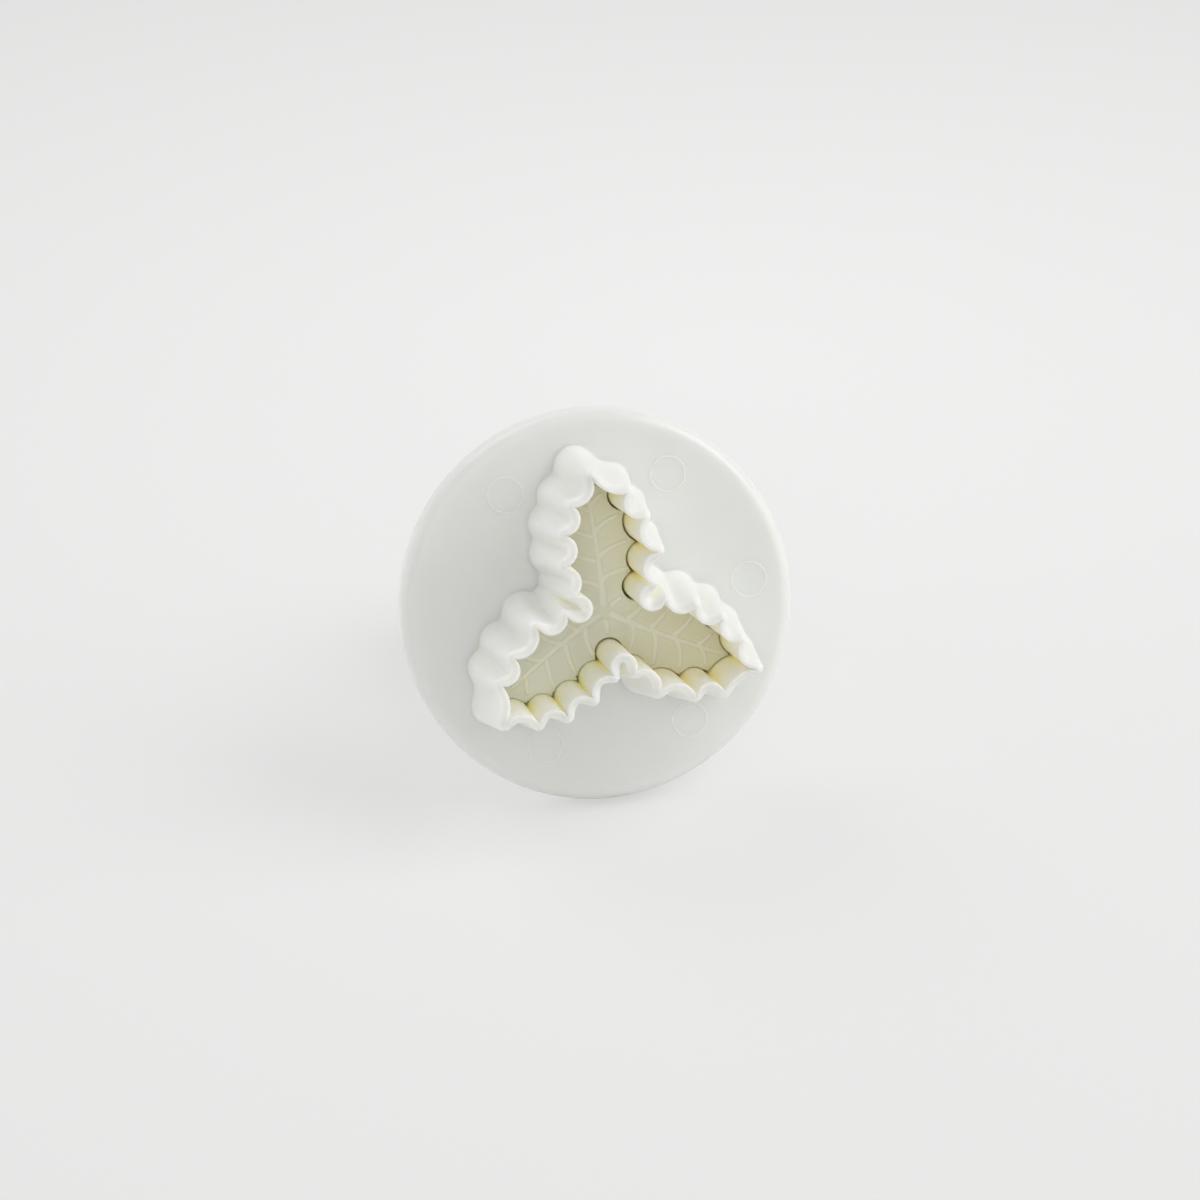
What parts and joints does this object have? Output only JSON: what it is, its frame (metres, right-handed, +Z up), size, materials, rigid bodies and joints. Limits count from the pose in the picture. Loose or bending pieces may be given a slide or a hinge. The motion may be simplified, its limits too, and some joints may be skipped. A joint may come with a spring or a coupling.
{
  "type": "plunger cutter",
  "caption": "Hand-held sprung plunger cutter with a round flange, a scalloped wall that cuts joined holly leaves, a veined stamp inside it and a push knob on top.",
  "frame": {"origin": "on the plunger's axis, in the plane of the cutting edge, which is the surface the cutter stands on", "axes": "+Z up the plunger's axis from the cutting edge to the knob, +Y along one of the leaves, +X to the right of that leaf seen from above"},
  "size_m": [0.05, 0.05, 0.0553],
  "materials": {
    "body_white": "satin moulded white plastic, slightly translucent",
    "stamp_ivory": "satin ivory plastic",
    "stem_white": "satin moulded plastic",
    "spring_steel": "drawn stainless wire",
    "knob_white": "satin moulded white plastic"
  },
  "bodies": {
    "cutter": {"cutter_body": "body_white", "spring": "spring_steel"},
    "plunger": {"stamp": "stamp_ivory", "stem": "stem_white", "knob": "knob_white"}
  },
  "joints": [
    {"name": "plunger_slide", "type": "slide", "parent": "cutter", "child": "plunger", "axis": [0, 0, -1], "range_m": [0, 0.01035], "stiffness_N_per_m": 300, "springref_m": -0.004, "deforming": ["spring"]}
  ]
}
